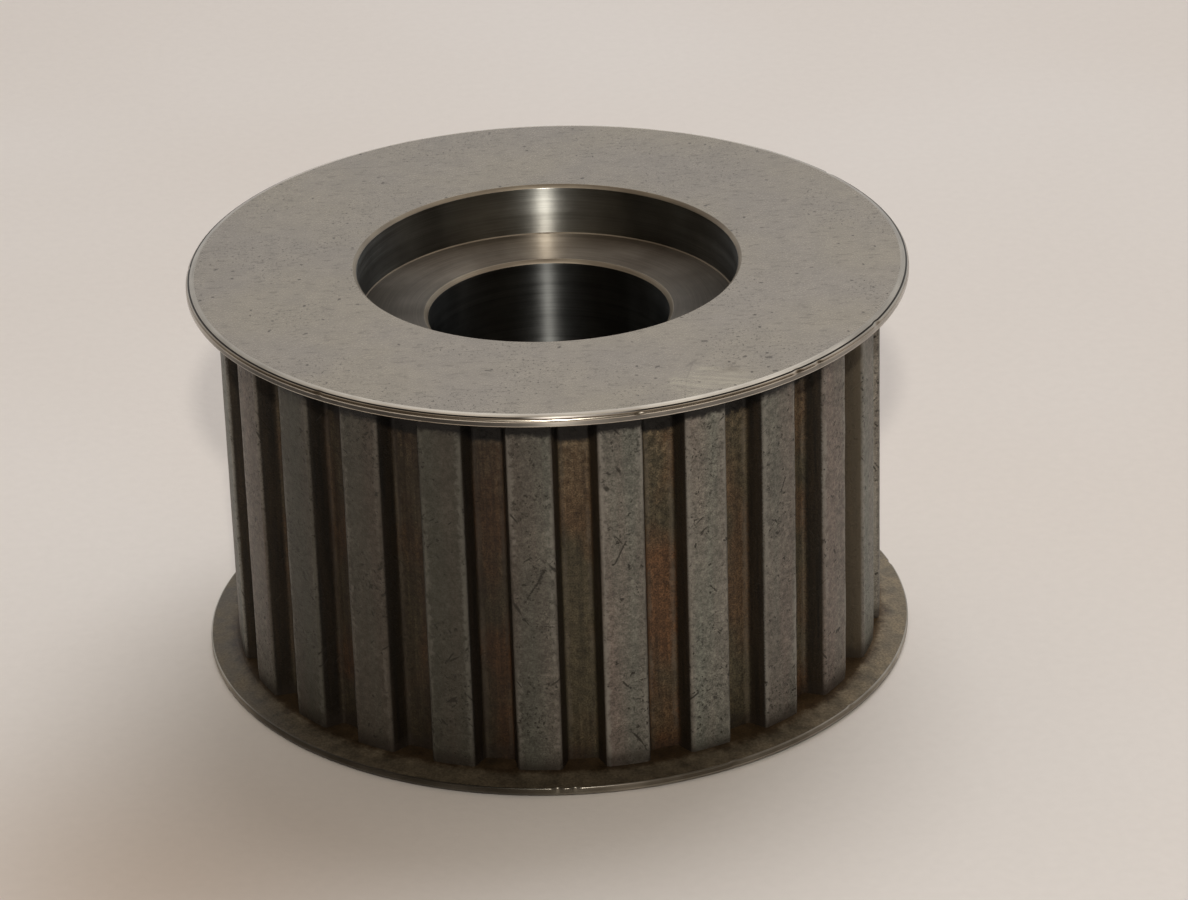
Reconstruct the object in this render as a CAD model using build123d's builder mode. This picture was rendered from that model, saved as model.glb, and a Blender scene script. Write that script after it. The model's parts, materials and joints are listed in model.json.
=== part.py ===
"""Timing belt pulley: a toothed body with a flange ring at each end.

The body is turned from one bar with its web and hub, and its 24 trapezoidal grooves run the whole way
between the flanges. Each flange is a separate ring, pressed on a spigot of the body and faced flush.
Millimetres. +Z runs along the bore, and the origin is the centre of the lower face.
"""

import os
from math import isclose, pi, radians, tan

from build123d import *

os.makedirs("parts", exist_ok=True)

# The belt that the teeth take: trapezoidal, half-inch pitch
BELT_PITCH = 12.7
TOOTH_COUNT = 24
PITCH_LINE_OFFSET = 0.686  # from a tooth's tip out to the belt's pitch line

# One groove between two teeth
GROOVE_DEPTH = 3.05
GROOVE_FLOOR_WIDTH = 4.19
GROOVE_FLANK_ANGLE = 20.0  # between each flank and the groove's centre line
TIP_EDGE_RADIUS = 0.45
ROOT_CORNER_RADIUS = 0.6

# Along the axis
PULLEY_WIDTH = 59.0
FLANGE_THICKNESS = 2.0
RECESS_DEPTH = 7.8

# Across the axis
FLANGE_DIAMETER = 104.0
CREASE_DIAMETER = 96.4  # outside it a flange's inner face leans away from the belt
SPIGOT_DIAMETER = 84.0  # smaller than the circle of the groove floors, so that a flange covers their ends
RECESS_DIAMETER = 55.0
BORE_DIAMETER = 35.0

# Edges of the turned pieces
FLANGE_LEAN = 0.5  # how much thinner a flange is at its rim than at its crease
RIM_BREAK_RADIAL = 0.95
RIM_BREAK_AXIAL = 0.45
RECESS_CHAMFER = 0.5
BORE_CHAMFER = 0.55

tip_radius = BELT_PITCH * TOOTH_COUNT / (2 * pi) - PITCH_LINE_OFFSET
floor_radius = tip_radius - GROOVE_DEPTH
flange_radius = FLANGE_DIAMETER / 2
spigot_radius = SPIGOT_DIAMETER / 2
recess_radius = RECESS_DIAMETER / 2
bore_radius = BORE_DIAMETER / 2


def flange_ring(outer_face, inward):
    """A flange from the height of its outer face; inward is +1 or -1, the way to the belt along Z."""
    seat = outer_face + inward * FLANGE_THICKNESS
    rim_inner = seat - inward * FLANGE_LEAN
    rim_outer = outer_face + inward * RIM_BREAK_AXIAL
    with BuildPart() as ring:
        with BuildSketch(Plane.XZ):
            with BuildLine():
                Polyline(
                    (spigot_radius, outer_face),
                    (spigot_radius, seat),
                    (CREASE_DIAMETER / 2, seat),
                    (flange_radius, rim_inner),
                    (flange_radius, rim_outer),
                    (flange_radius - RIM_BREAK_RADIAL, outer_face),
                    close=True,
                )
            make_face()
        revolve(axis=Axis.Z)
    return ring


def is_circle_of(radius):
    """A test for the edges that are whole circles of this radius."""
    return lambda edge: edge.geom_type == GeomType.CIRCLE and isclose(edge.radius, radius, abs_tol=1e-6)


# The toothed body: its cross-section between the flanges first, with a groove centred on +X
groove_mouth_radius = tip_radius + 1.0  # just outside the teeth, so that the cut runs out of them
groove_mouth_half = GROOVE_FLOOR_WIDTH / 2 + (GROOVE_DEPTH + 1.0) * tan(radians(GROOVE_FLANK_ANGLE))

with BuildPart() as toothed_body:
    with BuildSketch(Plane.XY.offset(FLANGE_THICKNESS)) as teeth:
        Circle(tip_radius)
        with PolarLocations(0, TOOTH_COUNT):
            Polygon(
                (floor_radius, -GROOVE_FLOOR_WIDTH / 2),
                (groove_mouth_radius, -groove_mouth_half),
                (groove_mouth_radius, groove_mouth_half),
                (floor_radius, GROOVE_FLOOR_WIDTH / 2),
                align=None,
                mode=Mode.SUBTRACT,
            )
        corners = teeth.vertices().sort_by(SortBy.DISTANCE)
        fillet(corners[: 2 * TOOTH_COUNT], ROOT_CORNER_RADIUS)
        fillet(teeth.vertices().sort_by(SortBy.DISTANCE)[-2 * TOOTH_COUNT :], TIP_EDGE_RADIUS)
    extrude(amount=PULLEY_WIDTH - 2 * FLANGE_THICKNESS)

    # Both spigots in one cylinder, from face to face
    with BuildSketch(Plane.XY):
        Circle(spigot_radius)
    extrude(amount=PULLEY_WIDTH)

    # A round recess in each face, which leaves the hub between them
    with BuildSketch(Plane.XY, Plane.XY.offset(PULLEY_WIDTH - RECESS_DEPTH)):
        Circle(recess_radius)
    extrude(amount=RECESS_DEPTH, mode=Mode.SUBTRACT)

    Hole(radius=bore_radius)

    recess_edges = toothed_body.edges().filter_by(is_circle_of(recess_radius)).sort_by(Axis.Z)
    chamfer([recess_edges[0], recess_edges[-1]], RECESS_CHAMFER)
    chamfer(toothed_body.edges().filter_by(is_circle_of(bore_radius)), BORE_CHAMFER)

toothed_body.part.label = "toothed_body"
export_step(toothed_body.part, "parts/toothed_body.step")

upper_flange = flange_ring(PULLEY_WIDTH, -1)
upper_flange.part.label = "upper_flange"
export_step(upper_flange.part, "parts/upper_flange.step")

lower_flange = flange_ring(0.0, 1)
lower_flange.part.label = "lower_flange"
export_step(lower_flange.part, "parts/lower_flange.step")
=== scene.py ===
"""Looks of a timing belt pulley: worn toothed body between two ground flanges, on a pale floor.

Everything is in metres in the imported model's frame: +Z along the bore, the origin on the lower face.
The shapes and materials below work in millimetres, which MM turns into metres.
"""

import json
import math

import bpy
import numpy as np
from mathutils import Matrix, Vector, noise


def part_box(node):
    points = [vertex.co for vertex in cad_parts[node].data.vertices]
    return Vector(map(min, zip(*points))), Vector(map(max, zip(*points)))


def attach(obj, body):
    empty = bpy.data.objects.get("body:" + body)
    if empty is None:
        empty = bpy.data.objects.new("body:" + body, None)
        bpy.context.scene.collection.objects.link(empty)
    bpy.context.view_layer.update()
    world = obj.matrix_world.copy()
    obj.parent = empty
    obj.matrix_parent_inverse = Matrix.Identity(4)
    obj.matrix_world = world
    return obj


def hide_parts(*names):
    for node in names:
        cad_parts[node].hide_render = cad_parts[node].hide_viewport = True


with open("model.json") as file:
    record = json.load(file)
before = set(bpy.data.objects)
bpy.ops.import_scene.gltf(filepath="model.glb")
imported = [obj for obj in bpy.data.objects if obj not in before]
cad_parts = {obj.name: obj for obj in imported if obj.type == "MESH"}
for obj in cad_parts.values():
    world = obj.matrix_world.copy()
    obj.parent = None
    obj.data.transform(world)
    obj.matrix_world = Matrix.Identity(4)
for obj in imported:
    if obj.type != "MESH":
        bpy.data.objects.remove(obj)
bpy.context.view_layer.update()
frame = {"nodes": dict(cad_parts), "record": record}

MM = 0.001

# ---------------------------------------------------------------- sizes, in millimetres


def node_radii(name):
    """Distance from the bore's axis of each vertex of a CAD node, in millimetres."""
    return np.array([math.hypot(v.co.x, v.co.y) for v in frame["nodes"][name].data.vertices]) / MM


def mount_size(name, key):
    """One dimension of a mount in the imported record, in millimetres."""
    return next(m for m in frame["record"]["mounts"] if m["name"] == name)["dims"][key]


TOOTH_COUNT = 24
GROOVE_DEPTH = 3.05
GROOVE_FLOOR_WIDTH = 4.19
GROOVE_FLANK_ANGLE = math.radians(20.0)
TIP_EDGE_RADIUS = 0.45
ROOT_CORNER_RADIUS = 0.6
CREASE_RADIUS = 48.2  # outside it a flange's inner face leans away from the belt
FLANGE_LEAN = 0.5
RIM_BREAK_RADIAL = 0.95
RIM_BREAK_AXIAL = 0.45
RECESS_CHAMFER = 0.5
RECESS_CORNER = 0.14  # the small fillet at the foot of the recess's wall
BORE_CHAMFER = 0.55

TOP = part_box("toothed_body")[1].z / MM
FLANGE_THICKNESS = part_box("lower_flange")[1].z / MM
TIP_RADIUS = float(node_radii("toothed_body").max())
FLOOR_RADIUS = TIP_RADIUS - GROOVE_DEPTH
FLANGE_RADIUS = float(node_radii("upper_flange").max())
SPIGOT_RADIUS = float(node_radii("upper_flange").min())
BORE_RADIUS = mount_size("shaft_bore", "r_mm")
RECESS_RADIUS = mount_size("upper_recess", "r_mm")
RECESS_DEPTH = mount_size("upper_recess", "length_mm") + RECESS_CHAMFER
PITCH_ANGLE = 2 * math.pi / TOOTH_COUNT
LAND_TO_GROOVE = PITCH_ANGLE * TIP_RADIUS / 2  # round the rim, from middle to middle

# ---------------------------------------------------------------- marks of use, painted light and shade: places in millimetres

SCUFF = (19.2, -44.3)  # the middle of the scuffed patch on a ground face
STAIN = (22.2, -39.6)  # and of the brown stain beside it
HIGHLIGHT_AZIMUTH = 1.0  # where a highlight is painted on the outer edges of the ground faces
DARK_SIDE_AZIMUTH = -36.0  # the middle of the side whose colour is darker
SHADED_CORNER = (-61.0, -69.0)  # the middle of the painted shade on the paper
SHADE_REACH = 62.0

# dark scratches and pits on both ground faces: the two ends, the width and the strength
FACE_MARKS = [
    ((17.3, -37.3), (15.9, -42.3), 0.20, 0.35),
    ((15.9, -42.3), (15.1, -47.6), 0.16, 0.25),
    ((17.8, -36.8), (16.2, -38.6), 0.35, 0.45),
    ((22.7, -38.5), (22.9, -38.5), 0.40, 0.9),
    ((27.5, -37.3), (27.9, -37.3), 0.35, 0.9),
    ((28.0, -41.7), (28.2, -41.7), 0.30, 0.8),
    ((19.4, -30.8), (19.7, -30.8), 0.35, 0.8),
    ((-11.0, -36.0), (-10.5, -36.1), 0.25, 0.8),
]

# scratches on the lands: degrees from -Y to the land, the two ends across and up it, and the width
GOUGES = [
    (-7.5, (1.5, 33.6), (0.7, 32.0), 0.42),
    (-7.5, (1.0, 32.4), (-0.9, 29.4), 0.20),
    (-7.5, (-0.2, 35.6), (-1.2, 35.0), 0.16),
    (7.5, (-1.2, 34.0), (0.4, 37.2), 0.16),
    (22.5, (0.2, 27.8), (1.0, 26.9), 0.20),
    (7.5, (-0.6, 15.4), (0.5, 14.2), 0.22),
    (-22.5, (0.8, 20.0), (-0.5, 18.2), 0.18),
    (37.5, (0.9, 40.5), (0.1, 38.6), 0.20),
]

# and parts of the lands that are pocked all over, given in the same way
POCKED = [
    (-7.5, (0.0, 31.5), (-0.4, 39.0), 1.6),
    (-7.5, (0.5, 50.0), (1.0, 54.0), 1.5),
    (7.5, (0.6, 51.0), (0.4, 54.5), 1.3),
    (37.5, (0.2, 46.0), (0.0, 50.0), 1.2),
    (22.5, (0.0, 50.5), (0.3, 53.0), 1.6),
]

# dents in the flanges' rims: degrees from -Y, height, width and depth
UPPER_NICKS = [
    (-152.0, TOP - 0.8, 1.0, 0.20),
    (-96.0, TOP - 0.5, 0.8, 0.15),
    (-41.0, TOP - 0.5, 0.9, 0.16),
    (-22.5, TOP - 1.9, 0.8, 0.14),
    (9.5, TOP - 0.4, 0.7, 0.12),
    (37.0, TOP - 0.5, 1.0, 0.22),
    (41.5, TOP - 0.6, 0.8, 0.18),
    (58.0, TOP - 0.4, 1.1, 0.20),
    (121.0, TOP - 0.5, 1.2, 0.25),
]
LOWER_NICKS = [
    (-120.0, 1.2, 1.0, 0.25),
    (-33.0, 1.4, 1.0, 0.20),
    (-4.6, 1.5, 0.9, 0.30),
    (-1.9, 1.5, 0.8, 0.26),
    (24.0, 1.4, 1.2, 0.22),
    (49.0, 1.5, 0.9, 0.18),
    (100.0, 1.0, 1.1, 0.25),
    (168.0, 1.4, 1.0, 0.22),
]

# ---------------------------------------------------------------- how finely the meshes are cut

SHARP_ANGLE = math.radians(28)  # an edge that turns more than this is drawn as a hard one
LAND_STEPS, FLANK_STEPS, FLOOR_STEPS, CORNER_STEPS = 8, 4, 5, 3
ROWS = 90  # heights at which the toothed surface has points
RIM_STEPS = 1080  # points round a flange
TURNED_STEPS = 2  # segments in each rounded corner of the turned surfaces inside the body
SECTION_STEPS = 3  # and in those of a flange

# ---------------------------------------------------------------- wear of the teeth, in millimetres

WORN_DEPTH = 0.5  # how far below the tooth circle the wear reaches
EDGE_DEPTH = 0.04  # a point this far below the circle is wholly on a land's rounded edge
RUBBED_LOSS = 0.012  # off the lands, and off the whole surface in ripples
EDGE_LOSS = 0.10  # off the lands' edges, where they are worn most
CHIP_LOSS = 0.16  # and where they are chipped
END_LOSS, END_REACH = 0.10, 2.5  # off the ends of the teeth, beside the flanges

# ---------------------------------------------------------------- camera and light

CAMERA_AZIMUTH, CAMERA_ELEVATION, CAMERA_DISTANCE = -3.38, 26.19, 0.66266  # degrees and metres
CAMERA_YAW, CAMERA_PITCH, CAMERA_ROLL = 0.51, -0.10, -2.03  # degrees off the line to the pulley's middle
CAMERA_LENS = 136.73
MIDDLE = Vector((0, 0, TOP * MM / 2))
WORLD_AZIMUTH, WORLD_ELEVATION = 166.0, 22.0
WORLD_REACH = (0.0, 0.90)  # cosines of the angle from there at which the light ends and is full
WORLD_FRONT, WORLD_BACK = 0.06, 0.75  # its strength on the camera's side and behind the pulley
WARM_LIGHT, COOL_LIGHT = (1.0, 0.75, 0.52, 1.0), (1.0, 0.98, 0.97, 1.0)
FLOOR_REACH = 2.5  # metres from the middle of the floor to its edges


def direction(azimuth, elevation):
    """The way from the pulley to a camera or light: azimuth 0 is -Y, and 90 is +X."""
    a, e = math.radians(azimuth), math.radians(elevation)
    return Vector((math.sin(a) * math.cos(e), -math.cos(a) * math.cos(e), math.sin(e)))


# ---------------------------------------------------------------- mesh code


def rounded(points, radii, steps, closed=False):
    """The polyline with its corners rounded in steps: one radius per point, 0 for a sharp corner."""
    out = []
    count = len(points)
    for i, (point, radius) in enumerate(zip(points, radii)):
        here = Vector(point)
        if radius == 0 or (not closed and i in (0, count - 1)):
            out.append(tuple(here))
            continue
        before = (Vector(points[i - 1]) - here).normalized()
        after = (Vector(points[(i + 1) % count]) - here).normalized()
        half = before.angle(after) / 2
        centre = here + (before + after).normalized() * (radius / math.sin(half))
        start = here + before * (radius / math.tan(half)) - centre
        end = here + after * (radius / math.tan(half)) - centre
        turn = start.angle_signed(end)
        for step in range(steps + 1):
            arm = start.copy()
            arm.rotate(Matrix.Rotation(-turn * step / steps, 2))
            out.append(tuple(centre + arm))
    return out


def stretch(start, end, count):
    """count points evenly from start up to, but not including, end."""
    share = np.arange(count)[:, None] / count
    return np.array(start) * (1 - share) + np.array(end) * share


def mesh_of_rings(name, rings, zones, materials):
    """A closed quad mesh through rings of equally many points, in millimetres.

    The last ring is joined to the first, and zones gives a material for the band that starts at each ring.
    """
    around = len(rings[0])
    here = np.arange(around)
    ahead = (here + 1) % around
    faces = []
    for band in range(len(rings)):
        low, high = band * around, (band + 1) % len(rings) * around
        faces.append(np.stack([low + here, low + ahead, high + ahead, high + here], 1))
    mesh = bpy.data.meshes.new(name)
    mesh.from_pydata(np.concatenate(rings) * MM, [], np.concatenate(faces).tolist())
    for material in materials:
        mesh.materials.append(material)
    mesh.polygons.foreach_set("material_index", np.repeat(np.array(zones, np.int32), around))
    mesh.polygons.foreach_set("use_smooth", np.ones(len(rings) * around, bool))
    mesh.set_sharp_from_angle(angle=SHARP_ANGLE)
    mesh.update()
    made = bpy.data.objects.new(name, mesh)
    bpy.context.scene.collection.objects.link(made)
    normals = made.modifiers.new("flat_faces_shade_flat", "WEIGHTED_NORMAL")
    normals.keep_sharp = True
    return made


def circle(radius, height, angles):
    """A ring of points round the bore's axis."""
    return np.stack([radius * np.cos(angles), radius * np.sin(angles), np.full(len(angles), height)], 1)


# ---------------------------------------------------------------- shader helpers


class Nodes:
    """A material's node tree, with a short call for each node that the finishes use."""

    def __init__(self, name):
        self.material = bpy.data.materials.new(name)
        self.material.use_nodes = True
        self.tree = self.material.node_tree
        self.shader = self.tree.nodes["Principled BSDF"]
        coordinates = self.tree.nodes.new("ShaderNodeTexCoord")
        scaled = self.tree.nodes.new("ShaderNodeVectorMath")
        scaled.operation = "SCALE"
        scaled.inputs["Scale"].default_value = 1 / MM
        self.tree.links.new(coordinates.outputs["Object"], scaled.inputs[0])
        self.place = scaled.outputs[0]  # millimetres, fixed to the part

    def feed(self, socket, value):
        """Link a socket, or set a constant on it."""
        if isinstance(value, bpy.types.NodeSocket):
            self.tree.links.new(value, socket)
        else:
            socket.default_value = value

    def math(self, operation, *values):
        node = self.tree.nodes.new("ShaderNodeMath")
        node.operation = operation
        for socket, value in zip(node.inputs, values):
            self.feed(socket, value)
        return node.outputs[0]

    def plus(self, first, second):
        return self.math("ADD", first, second)

    def minus(self, first, second):
        return self.math("SUBTRACT", first, second)

    def times(self, first, second):
        return self.math("MULTIPLY", first, second)

    def larger(self, first, second):
        return self.math("MAXIMUM", first, second)

    def step(self, value, low, high):
        """0 below low and 1 above high, smooth between; low may be above high."""
        node = self.tree.nodes.new("ShaderNodeMapRange")
        node.interpolation_type = "SMOOTHSTEP"
        flip = low > high
        self.feed(node.inputs["Value"], value)
        node.inputs["From Min"].default_value = min(low, high)
        node.inputs["From Max"].default_value = max(low, high)
        node.inputs["To Min"].default_value = 1.0 if flip else 0.0
        node.inputs["To Max"].default_value = 0.0 if flip else 1.0
        return node.outputs["Result"]

    def spread(self, value, low, high, first=0.0, second=1.0):
        """first below low and second above high, straight between."""
        node = self.tree.nodes.new("ShaderNodeMapRange")
        self.feed(node.inputs["Value"], value)
        for name, number in (("From Min", low), ("From Max", high), ("To Min", first), ("To Max", second)):
            node.inputs[name].default_value = number
        return node.outputs["Result"]

    def split(self, vector):
        node = self.tree.nodes.new("ShaderNodeSeparateXYZ")
        self.feed(node.inputs[0], vector)
        return node.outputs

    def join(self, x, y, z):
        node = self.tree.nodes.new("ShaderNodeCombineXYZ")
        for socket, value in zip(node.inputs, (x, y, z)):
            self.feed(socket, value)
        return node.outputs[0]

    def noise(self, vector, scale, detail=2.0, roughness=0.5):
        """Smooth noise, mostly from 0.35 to 0.65; scale is features per millimetre."""
        node = self.tree.nodes.new("ShaderNodeTexNoise")
        self.feed(node.inputs["Vector"], vector)
        node.inputs["Scale"].default_value = scale
        node.inputs["Detail"].default_value = detail
        node.inputs["Roughness"].default_value = roughness
        return node.outputs["Fac"]

    def specks(self, vector, scale, radius, share):
        """1 inside specks scattered over x and y.

        There are scale cells to the millimetre, share of them hold a speck, and its radius is in cells.
        """
        node = self.tree.nodes.new("ShaderNodeTexVoronoi")
        self.feed(node.inputs["Vector"], vector)
        node.voronoi_dimensions = "2D"
        node.inputs["Scale"].default_value = scale
        chosen = self.math("LESS_THAN", self.split(node.outputs["Color"])[0], share)
        near = self.step(node.outputs["Distance"], radius, radius * 0.45)
        return self.times(near, chosen)

    def random(self, value):
        """A steady random number for each whole number."""
        node = self.tree.nodes.new("ShaderNodeTexWhiteNoise")
        node.noise_dimensions = "1D"
        self.feed(node.inputs["W"], value)
        return node.outputs["Value"]

    def blend(self, share, first, second):
        """first where share is 0 and second where it is 1, for colours."""
        node = self.tree.nodes.new("ShaderNodeMix")
        node.data_type = "RGBA"
        self.feed(node.inputs["Factor"], share)
        for socket, value in ((node.inputs[6], first), (node.inputs[7], second)):
            self.feed(socket, (*value, 1.0) if isinstance(value, tuple) else value)
        return node.outputs[2]

    def level(self, share, first, second):
        """first where share is 0 and second where it is 1, for numbers."""
        node = self.tree.nodes.new("ShaderNodeMix")
        self.feed(node.inputs["Factor"], share)
        self.feed(node.inputs[2], first)
        self.feed(node.inputs[3], second)
        return node.outputs[0]

    def dim(self, colour, amount):
        """The colour times a number."""
        node = self.tree.nodes.new("ShaderNodeVectorMath")
        node.operation = "SCALE"
        self.feed(node.inputs[0], colour)
        self.feed(node.inputs["Scale"], amount)
        return node.outputs[0]

    def vary(self, colour, share, first, second):
        """The colour times first where share is 0 and times second where it is 1."""
        return self.dim(colour, self.level(share, first, second))

    def bump(self, height, depth):
        """A normal from a height of 0 to 1 that stands for depth, in millimetres."""
        node = self.tree.nodes.new("ShaderNodeBump")
        node.inputs["Strength"].default_value = 1.0
        node.inputs["Distance"].default_value = depth * MM
        self.feed(node.inputs["Height"], height)
        return node.outputs["Normal"]

    def polar(self):
        """Radius in millimetres, angle in radians and height in millimetres of the shaded point."""
        x, y, z = self.split(self.place)
        radius = self.math("SQRT", self.plus(self.times(x, x), self.times(y, y)))
        return radius, self.math("ARCTAN2", y, x), z

    def distance(self, x, y, point):
        """Millimetres from the shaded point to a point, seen along the bore."""
        across, along = self.minus(x, point[0]), self.minus(y, point[1])
        return self.math("SQRT", self.plus(self.times(across, across), self.times(along, along)))

    def stroke(self, right, up, waver, start, end, width):
        """1 on a wavering scratch between two points, in the millimetres that right and up count."""
        run, rise = end[0] - start[0], end[1] - start[1]
        length = math.hypot(run, rise)
        right, up = self.minus(right, start[0]), self.minus(up, start[1])
        along = self.plus(self.times(right, run / length), self.times(up, rise / length))
        beside = self.minus(self.times(right, rise / length), self.times(up, run / length))
        beyond = self.larger(self.times(along, -1.0), self.minus(along, length))
        away = self.larger(self.math("ABSOLUTE", beside), beyond)
        away = self.plus(away, self.times(waver, width * 0.8))
        return self.step(away, width * 1.3, width * 0.6)

    def facing(self, azimuth, low, high, both=False):
        """0 to 1 as the cosine of the angle round the axis from an azimuth goes from low to high."""
        radius, _, _ = self.polar()
        along = self.tree.nodes.new("ShaderNodeVectorMath")
        along.operation = "DOT_PRODUCT"
        self.feed(along.inputs[0], self.place)
        along.inputs[1].default_value = direction(azimuth, 0.0)
        cosine = self.math("DIVIDE", along.outputs["Value"], radius)
        return self.step(self.math("ABSOLUTE", cosine) if both else cosine, low, high)

    def darker_side(self):
        """The share of darkening: one side of the pulley is darker than the rest."""
        return self.facing(DARK_SIDE_AZIMUTH, 0.76, 0.975)

    def turned_lines(self):
        """Coordinates in which noise runs round the axis, as the marks of a lathe tool do."""
        radius, _, height = self.polar()
        x, y, _ = self.split(self.place)
        across_marks = self.plus(radius, self.times(height, 1.37))
        slow = 0.02  # how fast the marks change on the way round
        return self.join(across_marks, self.times(x, slow), self.times(y, slow))

    def tangent(self):
        node = self.tree.nodes.new("ShaderNodeTangent")
        node.direction_type = "RADIAL"
        node.axis = "Z"
        return node.outputs[0]

    def finish(self, colour, roughness, metallic, normal):
        """Feeds the shader and gives the finished material."""
        self.feed(self.shader.inputs["Base Color"], colour)
        self.feed(self.shader.inputs["Roughness"], roughness)
        self.feed(self.shader.inputs["Metallic"], metallic)
        self.feed(self.shader.inputs["Normal"], normal)
        return self.material


# ---------------------------------------------------------------- materials


def ground_steel():
    """The faces: flat ground steel with a fine grain, faint stains, dark pits and one scuffed patch."""
    n = Nodes("ground_steel")
    x, y, _ = n.split(n.place)
    stain = n.spread(n.noise(n.place, 0.05, 3.0), 0.38, 0.62)
    cloud = n.spread(n.noise(n.place, 0.4, 3.0), 0.35, 0.65)
    grain = n.spread(n.noise(n.place, 3.2, 2.0, 0.6), 0.32, 0.68)
    lines = n.spread(n.noise(n.join(n.times(x, 0.10), y, 0.0), 4.0, 2.0), 0.3, 0.7)

    wander = n.times(cloud, 0.8)
    blots = n.specks(n.join(n.plus(x, wander), n.plus(y, wander), 0.0), 0.40, 0.13, 0.10)
    dotted = n.step(n.spread(n.noise(n.place, 0.08, 1.0), 0.42, 0.62), 0.1, 0.7)
    dots = n.times(n.step(n.noise(n.place, 2.0, 2.0, 0.7), 0.602, 0.66), dotted)
    drawn_out = n.join(n.times(x, 0.28), y, 0.0)
    dashes = n.times(n.step(n.noise(drawn_out, 1.5, 2.0, 0.7), 0.585, 0.65), 0.4)
    pits = n.larger(blots, n.larger(dots, dashes))
    for *mark, strength in FACE_MARKS:
        pits = n.larger(pits, n.times(n.stroke(x, y, cloud, *mark), strength))

    colour = n.blend(stain, (0.286, 0.257, 0.218), (0.304, 0.271, 0.217))
    # painted light: the face is brighter towards the front and +X
    colour = n.vary(colour, n.facing(25.0, -0.6, 0.9), 0.99, 1.09)
    colour = n.vary(colour, grain, 0.955, 1.045)
    colour = n.vary(colour, cloud, 0.95, 1.05)
    colour = n.vary(colour, lines, 0.945, 1.055)

    def near(middle, reach):
        """1 within reach of a point, with a ragged edge."""
        away = n.plus(n.distance(x, y, middle), n.times(cloud, 2.5))
        return n.step(away, reach + 1.5, reach - 1.5)

    # the scuff is a patch the size of a fingertip with slanting light lines, with a dark stain beside it
    slanting = n.join(n.times(x, 0.22), n.plus(y, n.times(x, 0.30)), 0.0)
    lit = n.spread(n.noise(slanting, 0.85, 2.0), 0.40, 0.58, 0.15, 1.0)
    colour = n.blend(n.times(n.times(near(SCUFF, 6.5), lit), 0.75), colour, (0.46, 0.42, 0.33))
    colour = n.blend(n.times(near(STAIN, 2.5), 0.45), colour, (0.13, 0.10, 0.07))
    colour = n.blend(n.times(pits, 0.8), colour, (0.05, 0.04, 0.03))

    height = n.plus(n.times(lines, 0.6), n.times(grain, 0.4))
    height = n.minus(height, n.times(pits, 2.0))
    return n.finish(colour, n.level(grain, 0.22, 0.30), 0.6, n.bump(height, 0.004))


def turned_steel(
    name, bright, dark, rough, drawn=1.0, side_darkening=0.0, painted_side_light=1.0, reach=(0.25, 0.98), painted_light=None
):
    """Bare turned steel: tool marks round the axis, and light drawn out across them by drawn, from 0 to 1.

    The argument after drawn darkens one side of the pulley, and the last is the colour of a highlight
    painted at the front. The one before reach scales the colour towards +X and -X as painted light and
    shade, and reach holds the cosines from -Y between which it does.
    """
    n = Nodes(name)
    marks = n.spread(n.noise(n.turned_lines(), 5.0, 3.0, 0.6), 0.3, 0.7)
    wide = n.spread(n.noise(n.turned_lines(), 0.9, 1.0), 0.35, 0.65)
    stain = n.spread(n.noise(n.place, 0.15, 3.0), 0.35, 0.65)
    colour = n.blend(stain, dark, bright)
    colour = n.vary(colour, marks, 0.85, 1.15)
    colour = n.vary(colour, wide, 0.92, 1.08)
    # darker on one side of the pulley
    if side_darkening:
        colour = n.vary(colour, n.darker_side(), 1.0, 1.0 - side_darkening)
    # painted light and shade: the colour is scaled towards +X and -X
    if painted_side_light != 1.0:
        colour = n.vary(colour, n.facing(0.0, *reach, both=True), painted_side_light, 1.0)
    # a painted highlight at the front
    if painted_light:
        colour = n.blend(n.facing(HIGHLIGHT_AZIMUTH, 0.985, 0.998), colour, painted_light)
    n.shader.inputs["Anisotropic"].default_value = drawn
    n.shader.inputs["Anisotropic Rotation"].default_value = 0.25
    n.feed(n.shader.inputs["Tangent"], n.tangent())
    return n.finish(colour, n.level(wide, rough - 0.03, rough + 0.03), 1.0, n.bump(marks, 0.0015))


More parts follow.
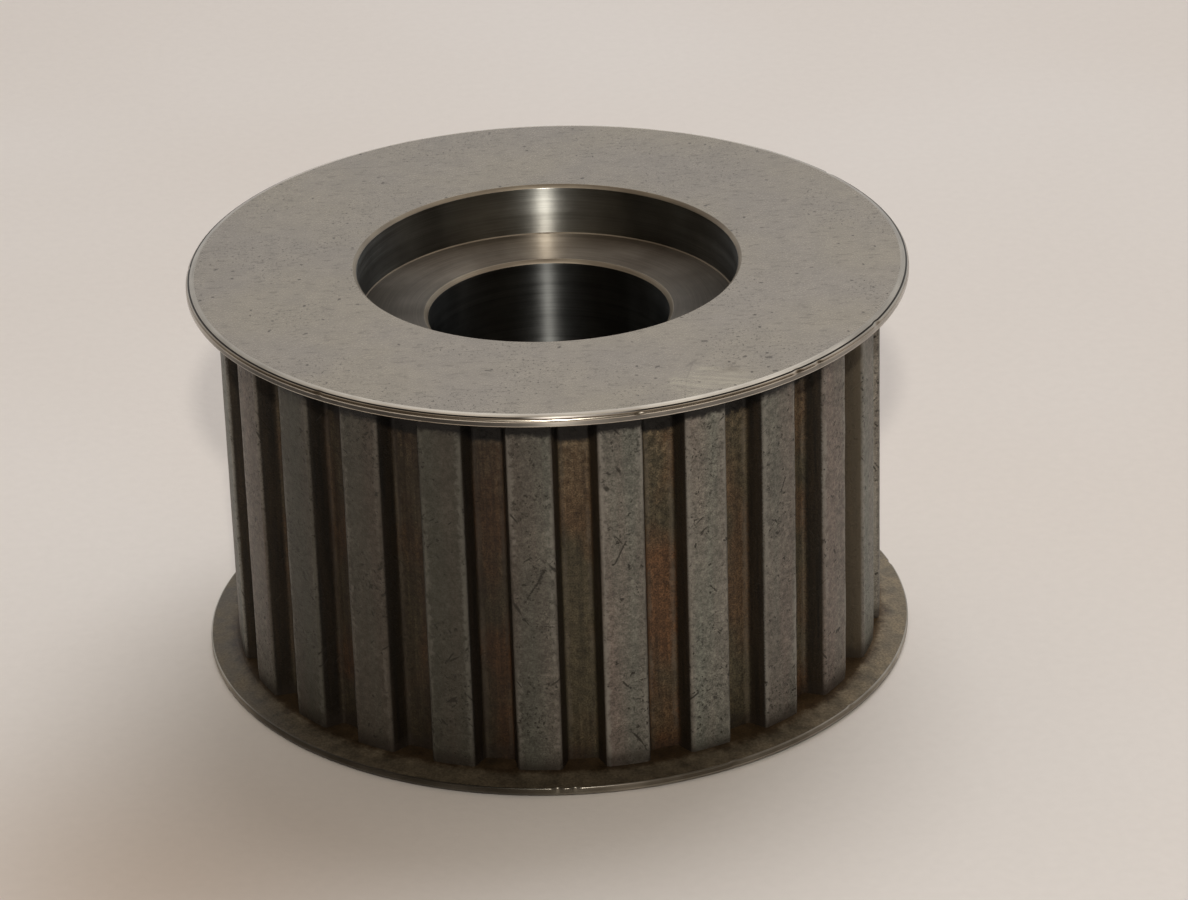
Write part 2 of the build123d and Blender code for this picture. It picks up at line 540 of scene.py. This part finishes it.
class ToothNodes(Nodes):
    """The toothed rim's material, with the patterns that its lands, groove floors and flanks share."""

    def __init__(self):
        super().__init__("tooth_steel")
        self.x, self.y, self.height = self.split(self.place)
        radius, self.angle, _ = self.polar()
        self.depth = self.minus(TIP_RADIUS, radius)
        self.grain = self.spread(self.noise(self.place, 4.2, 3.0, 0.7), 0.34, 0.66)
        self.coarse = self.spread(self.noise(self.place, 1.0, 3.0, 0.6), 0.32, 0.68)
        self.patch = self.spread(self.noise(self.place, 0.16, 3.0), 0.35, 0.65)
        self.upright = self.join(self.x, self.y, self.times(self.height, 0.05))
        self.streak = self.spread(self.noise(self.upright, 1.5, 3.0, 0.6), 0.32, 0.68)
        self.side_dark = self.darker_side()

        # whole numbers fall on the middles of the grooves, and halves on those of the lands
        pitches = self.plus(self.math("DIVIDE", self.angle, PITCH_ANGLE), TOOTH_COUNT)
        self.tooth = self.random(self.math("FLOOR", pitches))
        self.groove = self.random(self.math("ROUND", pitches))
        across = self.times(self.minus(self.math("FRACT", pitches), 0.5), PITCH_ANGLE * TIP_RADIUS)
        self.from_land = self.math("ABSOLUTE", across)  # millimetres from the middle of the land

    def marked(self, pattern, marks, waver):
        """The pattern with strokes added on the lands that the marks name."""
        around = self.times(self.angle, TIP_RADIUS)
        for azimuth, start, end, width in marks:
            land = math.remainder(math.radians(azimuth - 90), 2 * math.pi) * TIP_RADIUS
            stroke = self.stroke(self.minus(around, land), self.height, waver, start, end, width)
            pattern = self.larger(pattern, stroke)
        return pattern

    def pits(self):
        """1 in the pits and scratches of the lands."""
        dented = self.spread(self.noise(self.place, 0.17, 2.0), 0.44, 0.60)
        dented = self.marked(dented, POCKED, self.coarse)
        dots = self.times(self.step(self.noise(self.place, 1.9, 3.0, 0.75), 0.565, 0.63), dented)
        dots = self.larger(dots, self.step(self.noise(self.place, 0.9, 2.0, 0.6), 0.68, 0.71))
        leaning = self.plus(self.x, self.times(self.height, 0.7))
        falling = self.join(leaning, self.y, self.times(self.height, 0.16))
        falling = self.step(self.noise(falling, 1.2, 1.0), 0.69, 0.74)
        leaning = self.minus(self.x, self.times(self.height, 1.3))
        rising = self.join(leaning, self.y, self.times(self.height, 0.12))
        rising = self.step(self.noise(rising, 1.0, 1.0), 0.69, 0.74)
        scored = self.larger(
            self.times(falling, self.step(dented, 0.2, 0.5)),
            self.times(rising, self.step(self.patch, 0.4, 0.7)),
        )
        return self.larger(dots, self.marked(scored, GOUGES, self.grain))

    def land_colour(self, pits):
        """Worn grey, browner and greener in patches, darker on one side, and lighter along the edges:
        partly burnished, partly a painted highlight.
        """
        tint = self.spread(self.noise(self.upright, 0.20, 2.0), 0.38, 0.62)
        mottle = self.spread(self.noise(self.place, 2.0, 2.0, 0.6), 0.34, 0.66)
        land = self.blend(tint, (0.194, 0.161, 0.137), (0.164, 0.169, 0.142))
        land = self.vary(land, self.grain, 0.60, 1.40)
        land = self.vary(land, mottle, 0.90, 1.10)
        land = self.vary(land, self.coarse, 0.75, 1.25)
        land = self.vary(land, self.patch, 0.90, 1.10)
        land = self.vary(land, self.tooth, 0.88, 1.10)
        # darker and browner on one side of the pulley
        land = self.vary(land, self.side_dark, 1.0, 0.36)
        land = self.blend(self.times(self.side_dark, 0.30), land, (0.060, 0.050, 0.028))
        # lighter along the lands' edges: partly worn bright, partly a painted highlight on the rounded
        # edges
        edge = self.step(self.plus(self.from_land, self.times(self.coarse, 0.9)), 2.6, 3.3)
        worn_edge_and_highlight = self.spread(self.noise(self.upright, 0.8, 2.0), 0.38, 0.60, 0.05, 0.80)
        worn_edge_and_highlight = self.times(self.times(edge, worn_edge_and_highlight), self.level(self.side_dark, 1.0, 0.3))
        land = self.blend(worn_edge_and_highlight, land, (0.27, 0.255, 0.225))
        return self.blend(self.times(pits, 0.85), land, (0.022, 0.019, 0.014))

    def floor_colour(self):
        """Groove floors: olive grime and rust, paler at the upper end, darker on one side, with painted
        highlight and shade at the root corners and painted light towards +X.
        """
        gap = self.plus(self.minus(LAND_TO_GROOVE, self.from_land), self.times(self.coarse, 0.5))
        upper_end = self.spread(self.height, TOP - 22.0, TOP - 6.0)
        tall = self.join(self.x, self.y, self.times(self.height, 0.6))
        tone = self.spread(self.noise(tall, 0.12, 2.0), 0.42, 0.58)
        rust = self.times(self.level(self.groove, 0.55, 1.0), tone)
        floor = self.blend(rust, (0.070, 0.058, 0.033), (0.108, 0.052, 0.022))
        floor = self.blend(self.times(upper_end, self.coarse), floor, (0.136, 0.105, 0.062))
        floor = self.vary(floor, self.streak, 0.74, 1.28)
        floor = self.vary(floor, self.grain, 0.36, 1.64)
        floor = self.vary(floor, self.coarse, 0.66, 1.34)
        # painted highlight: a lighter band along each root corner
        corner = self.times(self.step(gap, 1.5, 2.0), self.step(gap, 2.7, 2.2))
        corner = self.times(corner, self.level(self.patch, 0.0, 0.55))
        floor = self.blend(corner, floor, (0.155, 0.130, 0.095))
        # darker towards the flanks: painted shade in the root corners, with some grime
        floor = self.vary(floor, self.step(gap, 2.3, 3.0), 1.08, 0.42)
        # darker on one side of the pulley
        dark_side_floor = self.times(self.side_dark, self.level(upper_end, 0.80, 1.0))
        floor = self.blend(self.times(dark_side_floor, self.level(self.streak, 1.0, 0.7)), floor, (0.018, 0.011, 0.006))
        # painted light: the floors facing +X are lighter
        clear = self.facing(90.0, 0.82, 0.96)
        return self.blend(self.times(clear, 0.6), floor, (0.19, 0.155, 0.11))

    def shaded_flank_colour(self, land):
        """Groove flanks: painted nearly black as shade, and painted lighter than the lands, as light, on
        the side that faces +X.
        """
        # painted shade: the flanks are nearly black
        flank = self.blend(self.streak, (0.014, 0.011, 0.007), (0.036, 0.025, 0.014))
        flank = self.vary(flank, self.grain, 0.6, 1.4)
        # painted light: flanks facing +X are lighter than the lands
        painted_light = self.blend(self.facing(90.0, 0.93, 0.98), (0.30, 0.245, 0.165), self.dim(land, 1.5))
        flank = self.blend(self.facing(90.0, 0.85, 0.98), flank, painted_light)
        return self.vary(flank, self.side_dark, 1.0, 0.6)

    def with_end_grime_and_shade(self, colour):
        """Adds ragged grime beside both flanges, partly painted shade, and a painted shadow of the upper
        flange below it.
        """
        below_upper = self.minus(TOP - FLANGE_THICKNESS, self.height)
        to_end = self.math("MINIMUM", self.minus(self.height, FLANGE_THICKNESS), below_upper)
        ragged = self.plus(self.times(self.patch, 1.6), self.times(self.coarse, 0.8))
        # grime beside both flanges, partly painted shade in the corners beside them
        grime_and_shade = self.times(self.step(self.minus(to_end, ragged), 1.6, -0.4), 0.6)
        colour = self.blend(grime_and_shade, colour, (0.034, 0.026, 0.020))
        # painted shadow of the upper flange, reaching further down the deeper the surface
        under = self.minus(below_upper, self.times(self.depth, 0.80))
        painted_flange_shadow = self.times(self.step(self.plus(under, self.times(self.coarse, 0.5)), 3.6, 2.6), 0.96)
        return self.blend(painted_flange_shadow, colour, (0.005, 0.004, 0.003))


def tooth_steel():
    """The toothed rim: worn grey lands, flanks painted nearly black as shade, and rust and grime on the
    groove floors.
    """
    n = ToothNodes()
    pits = n.pits()
    land = n.land_colour(pits)
    on_land = n.step(n.plus(n.depth, n.times(n.grain, 0.2)), 0.58, 0.16)
    sunk = n.plus(n.depth, n.times(n.coarse, 0.3))
    on_floor = n.step(sunk, GROOVE_DEPTH - 0.7, GROOVE_DEPTH + 0.1)
    colour = n.blend(on_floor, n.shaded_flank_colour(land), n.floor_colour())
    colour = n.with_end_grime_and_shade(n.blend(on_land, colour, land))
    rough = n.level(on_land, 0.48, n.level(n.grain, 0.42, 0.60))
    metallic = n.level(on_land, 0.35, 0.30)
    height = n.minus(n.plus(n.times(n.grain, 0.6), n.times(n.coarse, 0.6)), pits)
    return n.finish(colour, rough, metallic, n.bump(height, 0.045))


def grimy_steel():
    """The flanges' inner faces: oily brown grime, thickest at the teeth, over darkened steel."""
    n = Nodes("grimy_steel")
    radius, _, _ = n.polar()
    blot = n.spread(n.noise(n.place, 0.35, 4.0, 0.6), 0.32, 0.68)
    grain = n.spread(n.noise(n.place, 3.0, 2.0, 0.6), 0.32, 0.68)
    marks = n.spread(n.noise(n.turned_lines(), 3.0, 2.0), 0.3, 0.7)
    outer = n.step(n.plus(radius, n.times(blot, 1.6)), CREASE_RADIUS + 0.2, CREASE_RADIUS + 2.0)
    colour = n.blend(outer, (0.060, 0.038, 0.018), (0.118, 0.096, 0.064))
    colour = n.vary(colour, blot, 0.6, 1.4)
    colour = n.vary(colour, grain, 0.72, 1.28)
    # painted light: the inner faces are lighter towards +X
    colour = n.vary(colour, n.facing(75.0, 0.5, 0.97), 1.0, 1.8)
    return n.finish(colour, n.level(blot, 0.42, 0.60), 0.5, n.bump(n.plus(marks, grain), 0.012))


GROUND = ground_steel()
# painted light: the upper rim is brighter towards +X and -X, and darker on one side
RIM = turned_steel("rim_steel", (0.40, 0.375, 0.34), (0.32, 0.30, 0.27), 0.42, side_darkening=0.60, painted_side_light=1.6)
# painted light: the lower rim is brighter towards +X and -X, and darker on one side
DULL_RIM = turned_steel(
    "dull_rim_steel", (0.26, 0.237, 0.197), (0.150, 0.131, 0.102), 0.50, drawn=0.5, side_darkening=0.6, painted_side_light=1.85
)
# painted highlight: a bright line along the ground faces' outer edges, dimmer towards +X and -X
EDGE = turned_steel(
    "edge_steel", (0.80, 0.74, 0.64), (0.62, 0.57, 0.49), 0.21, drawn=0.0, painted_side_light=0.55, reach=(0.5, 0.98)
)
# painted highlight: a dimmer bright line along the lower flange's edges, darker on one side
DULL_EDGE = turned_steel(
    "dull_edge_steel", (0.42, 0.39, 0.34), (0.28, 0.26, 0.22), 0.30, drawn=0.0, side_darkening=0.7
)
# painted shade: the rims' chamfers are nearly black, with a painted highlight at the front
BREAK = turned_steel(
    "rim_break_steel", (0.060, 0.053, 0.044), (0.035, 0.031, 0.025), 0.50, painted_light=(0.75, 0.72, 0.68)
)
# painted highlight: full colour only in a narrow strip towards -Y and +Y, and painted shade, a third of it,
# elsewhere
RECESS = turned_steel(
    "recess_steel", (0.61, 0.63, 0.605), (0.465, 0.475, 0.455), 0.34, painted_side_light=0.33, reach=(0.82, 0.998)
)
# painted shade towards +X and -X
LEDGE = turned_steel(
    "ledge_steel", (0.41, 0.370, 0.315), (0.30, 0.265, 0.220), 0.47, painted_side_light=0.62, reach=(0.45, 0.92)
)
# painted shade towards +X and -X
MOUTH = turned_steel(
    "mouth_steel", (0.56, 0.50, 0.40), (0.44, 0.385, 0.31), 0.46, drawn=0.0, painted_side_light=0.66, reach=(0.5, 0.95)
)
# painted shade towards +X and -X, leaving a painted highlight strip towards -Y and +Y
BORE = turned_steel(
    "bore_steel", (0.195, 0.205, 0.205), (0.135, 0.142, 0.142), 0.42, painted_side_light=0.45, reach=(0.6, 0.99)
)
TEETH = tooth_steel()
GRIME = grimy_steel()

# ---------------------------------------------------------------- the toothed body


def tooth_section():
    """Points of one pitch of the toothed outline, from the middle of a land to the middle of the next."""
    half_pitch = PITCH_ANGLE / 2
    half_floor = GROOVE_FLOOR_WIDTH / 2
    # where a flank, a line at the flank angle through the end of the floor, meets the tooth circle
    sine, cosine = math.sin(GROOVE_FLANK_ANGLE), math.cos(GROOVE_FLANK_ANGLE)
    offset = half_floor * cosine - FLOOR_RADIUS * sine
    tip_angle = math.asin(offset / TIP_RADIUS) + GROOVE_FLANK_ANGLE
    tip = Vector((TIP_RADIUS * math.cos(tip_angle), TIP_RADIUS * math.sin(tip_angle)))
    along_land = Vector((-tip.y, tip.x)).normalized()
    corners = rounded(
        [(FLOOR_RADIUS, 0), (FLOOR_RADIUS, half_floor), tuple(tip), tuple(tip + along_land * 2)],
        [0, ROOT_CORNER_RADIUS, TIP_EDGE_RADIUS, 0],
        CORNER_STEPS,
    )
    root, edge = corners[1 : CORNER_STEPS + 2], corners[CORNER_STEPS + 2 : -1]
    half = [
        *stretch((FLOOR_RADIUS, 0), root[0], FLOOR_STEPS // 2 + 1),
        *root[:-1],
        *stretch(root[-1], edge[0], FLANK_STEPS),
        *edge[:-1],
    ]
    start = math.atan2(edge[-1][1], edge[-1][0])
    for angle in np.linspace(start, half_pitch, LAND_STEPS // 2 + 1):
        half.append((TIP_RADIUS * math.cos(angle), TIP_RADIUS * math.sin(angle)))
    half = np.array(half)
    mirrored = half[:0:-1] * (1, -1)
    return np.concatenate([mirrored[1:], half])


def toothed_outline():
    """The whole outline of the teeth, in order round the axis."""
    section = tooth_section()
    pitches = []
    for tooth in range(TOOTH_COUNT):
        angle = tooth * PITCH_ANGLE
        turn = np.array([[math.cos(angle), math.sin(angle)], [-math.sin(angle), math.cos(angle)]])
        pitches.append(section @ turn)
    return np.concatenate(pitches)


def worn(ring):
    """Moves a ring of the toothed surface inwards where belts and handling have worn it."""
    moved = ring.copy()
    for i, (x, y, z) in enumerate(ring):
        radius = math.hypot(x, y)
        depth = TIP_RADIUS - radius
        near_tip = max(0.0, 1 - depth / WORN_DEPTH)
        on_edge = near_tip * min(1.0, depth / EDGE_DEPTH)
        waves = noise.noise(Vector((x, y, z * 0.7)) / 4.0)
        chips = max(0.0, noise.noise(Vector((x, y, z * 0.5)) / 1.1) - 0.25)
        ripples = noise.noise(Vector((x, y, z * 0.1)) / 0.7)
        to_end = min(z - FLANGE_THICKNESS, TOP - FLANGE_THICKNESS - z)
        ends = max(0.0, 1 - to_end / END_REACH)
        loss = RUBBED_LOSS * (1 + ripples) + near_tip * RUBBED_LOSS * (1 + waves)
        loss += on_edge * (EDGE_LOSS * max(0.0, 0.5 + waves) + CHIP_LOSS * chips)
        loss += near_tip * END_LOSS * ends**2
        moved[i, :2] *= (radius - loss) / radius
    return moved


def zone_per_ring(section, steps):
    """The zone of each point that rounded makes of a section of (radius, height, zone, rounding)."""
    zones = []
    for _, _, zone, rounding in section:
        zones += [zone] * (steps + 1 if rounding else 1)
    return zones


def toothed_body():
    """The whole body as one closed skin: teeth outside, recesses, hub faces and bore inside."""
    outline = toothed_outline()
    around = len(outline)
    low, high = FLANGE_THICKNESS, TOP - FLANGE_THICKNESS
    angles = np.linspace(-PITCH_ANGLE / 2, 2 * math.pi - PITCH_ANGLE / 2, around, endpoint=False)
    rings, zones = [], []

    def add(ring, zone):
        rings.append(ring)
        zones.append(zone)

    ground, recess, ledge, bore, teeth, mouth = range(6)
    # up the outside
    add(circle(SPIGOT_RADIUS, low, angles), teeth)
    for height in np.linspace(low, high, ROWS):
        add(worn(np.column_stack([outline, np.full(around, height)])), teeth)
    add(circle(SPIGOT_RADIUS, high, angles), teeth)

    # over the upper face, into its recess and down the bore to the lower face
    upper = [
        (SPIGOT_RADIUS, TOP, ground, 0),
        (RECESS_RADIUS + RECESS_CHAMFER, TOP, mouth, 0.10),
        (RECESS_RADIUS, TOP - RECESS_CHAMFER, recess, 0.10),
        (RECESS_RADIUS, TOP - RECESS_DEPTH + RECESS_CORNER, mouth, 0),
        (RECESS_RADIUS - RECESS_CORNER, TOP - RECESS_DEPTH, ledge, 0),
        (BORE_RADIUS + BORE_CHAMFER, TOP - RECESS_DEPTH, mouth, 0.10),
        (BORE_RADIUS, TOP - RECESS_DEPTH - BORE_CHAMFER, bore, 0.10),
    ]
    lower_zones = [mouth, ledge, mouth, recess, mouth, ground, teeth]
    lower = [(r, TOP - z, zone, rounding) for (r, z, _, rounding), zone in zip(upper[::-1], lower_zones)]
    section = upper + lower
    points = rounded([s[:2] for s in section], [s[3] for s in section], TURNED_STEPS)
    owners = zone_per_ring(section, TURNED_STEPS)
    for (radius, height), zone in zip(points, owners):
        add(circle(radius, height, angles), zone)
    materials = [GROUND, RECESS, LEDGE, BORE, TEETH, MOUTH]
    return mesh_of_rings("toothed_body_worn", rings, zones, materials)


def nicked(rings, nicks):
    """Presses small dents into the outside of the rings."""
    for azimuth, height, width, depth in nicks:
        for ring in rings:
            radius = np.hypot(ring[:, 0], ring[:, 1])
            turned = np.arctan2(ring[:, 0], -ring[:, 1]) - math.radians(azimuth)
            along = np.arctan2(np.sin(turned), np.cos(turned)) * radius
            away = np.sqrt(along**2 + (ring[:, 2] - height) ** 2 + (FLANGE_RADIUS - radius) ** 2) / width
            loss = depth * np.clip(1 - away**2, 0, None) ** 2
            ring[:, :2] *= ((radius - loss) / radius)[:, None]


def flange(name, outer_face, inward, rim_steel, edge_steel, nicks):
    """A flange ring: a closed section turned round the axis, its edges slightly rounded.

    outer_face is the height of its ground face, and inward is 1 where the belt is above that and -1 below.
    """
    seat = outer_face + inward * FLANGE_THICKNESS
    break_end = outer_face + inward * RIM_BREAK_AXIAL
    break_middle = (FLANGE_RADIUS - RIM_BREAK_RADIAL * 0.56, outer_face + inward * RIM_BREAK_AXIAL * 0.44)
    rim_end = seat - inward * FLANGE_LEAN
    ground, rim, edge, rim_break, grime = range(5)
    # the bright edge steel on the rounded corners is a painted highlight, and the dark steel on the chamfer
    # between them painted shade
    section = [
        (SPIGOT_RADIUS, outer_face, ground, 0),
        (FLANGE_RADIUS - RIM_BREAK_RADIAL, outer_face, edge, 1.2),
        (*break_middle, rim_break, 0),
        (FLANGE_RADIUS, break_end, edge, 0.5),
        (FLANGE_RADIUS, break_end + inward * 0.33, rim, 0),
        (FLANGE_RADIUS, rim_end, edge, 0.18),
        (FLANGE_RADIUS - 0.2, seat - inward * FLANGE_LEAN * 0.95, grime, 0),
        (CREASE_RADIUS, seat, grime, 0.5),
        (SPIGOT_RADIUS, seat, grime, 0),
    ]
    points = rounded([s[:2] for s in section], [s[3] for s in section], SECTION_STEPS, closed=True)
    owners = zone_per_ring(section, SECTION_STEPS)
    if inward > 0:  # so that the faces look outwards here too
        points, owners = points[::-1], owners[-2::-1] + owners[-1:]
    angles = np.linspace(0, 2 * math.pi, RIM_STEPS, endpoint=False)
    rings = [circle(radius, height, angles) for radius, height in points]
    nicked(rings, nicks)
    return mesh_of_rings(name, rings, owners, [GROUND, rim_steel, edge_steel, BREAK, GRIME])


body = toothed_body()
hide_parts("toothed_body")
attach(body, "root")

upper = flange("upper_flange_ground", TOP, -1, RIM, EDGE, UPPER_NICKS)
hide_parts("upper_flange")
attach(upper, "root")

lower = flange("lower_flange_ground", 0.0, 1, DULL_RIM, DULL_EDGE, LOWER_NICKS)
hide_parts("lower_flange")
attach(lower, "root")

# ---------------------------------------------------------------- floor, light and camera


def paper_floor():
    """A wide sheet of pale paper under the pulley, with a painted shade towards its front left."""
    n = Nodes("paper")
    cloud = n.noise(n.place, 0.006, 2.0)
    fibre = n.noise(n.place, 0.6, 4.0)
    x, y, _ = n.split(n.place)
    colour = n.blend(n.step(cloud, 0.35, 0.65), (0.85, 0.805, 0.76), (0.88, 0.845, 0.81))
    # painted shade: the paper darkens towards its front left
    painted_shade = n.step(n.distance(x, y, SHADED_CORNER), SHADE_REACH, 0.0)
    colour = n.blend(painted_shade, colour, (0.63, 0.55, 0.48))
    colour = n.vary(colour, fibre, 0.97, 1.03)
    n.shader.inputs["Specular IOR Level"].default_value = 0.2
    material = n.finish(colour, 0.9, 0.0, n.bump(fibre, 0.05))
    corners = [(-1, -1), (1, -1), (1, 1), (-1, 1)]
    mesh = bpy.data.meshes.new("floor")
    mesh.from_pydata([(x * FLOOR_REACH, y * FLOOR_REACH, 0) for x, y in corners], [], [(0, 1, 2, 3)])
    mesh.materials.append(material)
    made = bpy.data.objects.new("floor", mesh)
    bpy.context.scene.collection.objects.link(made)


def area_light(name, azimuth, elevation, distance, size, watts, colour, glossy=True):
    """A round soft light that shines on the pulley's middle; glossy says whether the metal mirrors it."""
    light = bpy.data.lights.new(name, "AREA")
    light.shape = "DISK"
    light.size = size
    light.energy = watts
    light.color = colour
    made = bpy.data.objects.new(name, light)
    made.location = MIDDLE + direction(azimuth, elevation) * distance
    made.rotation_mode = "QUATERNION"
    made.rotation_quaternion = direction(azimuth, elevation).to_track_quat("Z", "Y")
    made.visible_glossy = glossy
    bpy.context.scene.collection.objects.link(made)


def studio_world():
    """Soft light from all round: brightest behind the pulley, dim and warm on the camera's side."""
    world = bpy.data.worlds.new("studio")
    world.use_nodes = True
    bpy.context.scene.world = world
    tree = world.node_tree
    tree.nodes.clear()
    ways = tree.nodes.new("ShaderNodeTexCoord")
    toward = tree.nodes.new("ShaderNodeVectorMath")
    toward.operation = "DOT_PRODUCT"
    tree.links.new(ways.outputs["Generated"], toward.inputs[0])
    toward.inputs[1].default_value = direction(WORLD_AZIMUTH, WORLD_ELEVATION)
    ramp = tree.nodes.new("ShaderNodeMapRange")
    ramp.interpolation_type = "SMOOTHSTEP"
    tree.links.new(toward.outputs["Value"], ramp.inputs["Value"])
    ramp.inputs["From Min"].default_value = WORLD_REACH[0]
    ramp.inputs["From Max"].default_value = WORLD_REACH[1]
    tint = tree.nodes.new("ShaderNodeMix")
    tint.data_type = "RGBA"
    tree.links.new(ramp.outputs["Result"], tint.inputs["Factor"])
    tint.inputs[6].default_value = WARM_LIGHT
    tint.inputs[7].default_value = COOL_LIGHT
    strength = tree.nodes.new("ShaderNodeMapRange")
    tree.links.new(ramp.outputs["Result"], strength.inputs["Value"])
    strength.inputs["To Min"].default_value = WORLD_FRONT
    strength.inputs["To Max"].default_value = WORLD_BACK
    background = tree.nodes.new("ShaderNodeBackground")
    tree.links.new(tint.outputs[2], background.inputs["Color"])
    tree.links.new(strength.outputs["Result"], background.inputs["Strength"])
    output = tree.nodes.new("ShaderNodeOutputWorld")
    tree.links.new(background.outputs[0], output.inputs[0])


def swung(first, second, degrees):
    """Two perpendicular vectors turned in their plane, the first towards the second."""
    sine, cosine = math.sin(math.radians(degrees)), math.cos(math.radians(degrees))
    return first * cosine + second * sine, second * cosine - first * sine


def camera():
    """A long lens on the pulley's middle, turned a little off it and rolled, as a hand holds it."""
    back = direction(CAMERA_AZIMUTH, CAMERA_ELEVATION)
    right = Vector((0, 0, 1)).cross(back).normalized()
    up = back.cross(right)
    ahead = -back
    right, ahead = swung(right, ahead, -CAMERA_YAW)
    ahead, up = swung(ahead, up, CAMERA_PITCH)
    right, up = swung(right, up, CAMERA_ROLL)
    data = bpy.data.cameras.new("camera")
    data.sensor_width = 36.0
    data.lens = CAMERA_LENS
    data.clip_start, data.clip_end = 0.05, 20.0
    made = bpy.data.objects.new("camera", data)
    turn = Matrix((right, up, -ahead)).transposed().to_4x4()
    made.matrix_world = Matrix.Translation(MIDDLE + back * CAMERA_DISTANCE) @ turn
    bpy.context.scene.collection.objects.link(made)
    bpy.context.scene.camera = made


paper_floor()
studio_world()
area_light(
    "flash",
    azimuth=CAMERA_AZIMUTH + 0.5,
    elevation=36.0,
    distance=0.80,
    size=0.035,
    watts=2.1,
    colour=(1.0, 0.93, 0.84),
)
area_light(
    "key",
    azimuth=157.0,
    elevation=60.0,
    distance=1.1,
    size=0.7,
    watts=4.1,
    colour=(1.0, 0.99, 1.0),
    glossy=False,
)
camera()

bpy.context.scene.view_settings.view_transform = "Standard"
